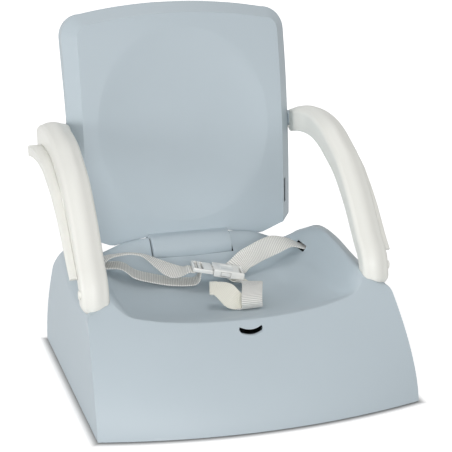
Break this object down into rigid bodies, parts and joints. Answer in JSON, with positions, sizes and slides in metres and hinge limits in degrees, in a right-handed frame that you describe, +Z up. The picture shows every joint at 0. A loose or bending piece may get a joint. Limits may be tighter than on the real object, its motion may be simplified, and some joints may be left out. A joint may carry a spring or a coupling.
{
  "type": "chair booster seat",
  "caption": "Chair booster seat: hollow bowl-seat base, folding rounded backrest, curved lift-off arms and a webbing lap belt with a buckle.",
  "frame": {"origin": "under the middle of the whole seat, on the plane that the rubber pads stand on", "axes": "+X to the viewer's right when the seat is seen from its front, +Y to the back, +Z up"},
  "size_m": [0.3846, 0.4128, 0.3983],
  "materials": {
    "shell_grey": "satin light blue-grey moulding",
    "arm_white": "satin warm white moulding",
    "webbing": "ribbed off-white webbing",
    "buckle_white": "glossy white",
    "rubber": "dark rubber",
    "steel": "zinc-plated"
  },
  "bodies": {
    "base": {"base_shell": "shell_grey", "foot_pad_front_right": "rubber", "foot_pad_rear_right": "rubber", "foot_pad_front_left": "rubber", "foot_pad_rear_left": "rubber", "hinge_pin": "steel", "pin_plug_right": "shell_grey", "pin_plug_left": "shell_grey", "belt_anchor_right": "rubber", "belt_anchor_left": "rubber", "strap_right": "webbing", "strap_left_upper": "webbing", "strap_left_lower": "webbing", "strap_tail": "webbing", "buckle_socket": "buckle_white", "buckle_tongue": "buckle_white"},
    "backrest": {"back_front_shell": "shell_grey", "back_rear_shell": "shell_grey", "back_screw_1": "steel", "back_screw_2": "steel", "back_screw_3": "steel", "back_screw_4": "steel", "back_screw_5": "steel", "back_screw_6": "steel", "arm_boss_right": "shell_grey", "arm_boss_left": "shell_grey"},
    "arm_right": {"arm_beam_right": "arm_white", "arm_rail_right": "arm_white"},
    "arm_left": {"arm_beam_left": "arm_white", "arm_rail_left": "arm_white"},
    "catch_right": {"arm_catch_right": "arm_white"},
    "catch_left": {"arm_catch_left": "arm_white"},
    "prong_front": {"buckle_prong_front": "buckle_white"},
    "prong_rear": {"buckle_prong_rear": "buckle_white"}
  },
  "joints": [
    {"name": "back_fold", "type": "hinge", "parent": "base", "child": "backrest", "pos_m": [0, 0.11515, 0.10401], "axis": [1, 0, 0], "range_deg": [0, 85], "deforming": ["strap_right", "strap_left_upper"]},
    {"name": "arm_right_lift", "type": "slide", "parent": "base", "child": "arm_right", "axis": [0, 0, 1], "range_m": [0, 0.12]},
    {"name": "arm_left_lift", "type": "slide", "parent": "base", "child": "arm_left", "axis": [0, 0, 1], "range_m": [0, 0.12]},
    {"name": "catch_right_press", "type": "slide", "parent": "arm_right", "child": "catch_right", "axis": [-1, 0, 0], "range_m": [0, 0.002], "stiffness_N_per_m": 400},
    {"name": "catch_left_press", "type": "slide", "parent": "arm_left", "child": "catch_left", "axis": [1, 0, 0], "range_m": [0, 0.002], "stiffness_N_per_m": 400},
    {"name": "prong_front_squeeze", "type": "slide", "parent": "base", "child": "prong_front", "axis": [0.1647, 0.9863, 0], "range_m": [0, 0.0033], "stiffness_N_per_m": 400},
    {"name": "prong_rear_squeeze", "type": "slide", "parent": "base", "child": "prong_rear", "axis": [-0.1647, -0.9863, 0], "range_m": [0, 0.0033], "stiffness_N_per_m": 400}
  ],
  "couplings": [
    {"joint": "prong_rear_squeeze", "follows": "prong_front_squeeze", "ratio": 1}
  ]
}
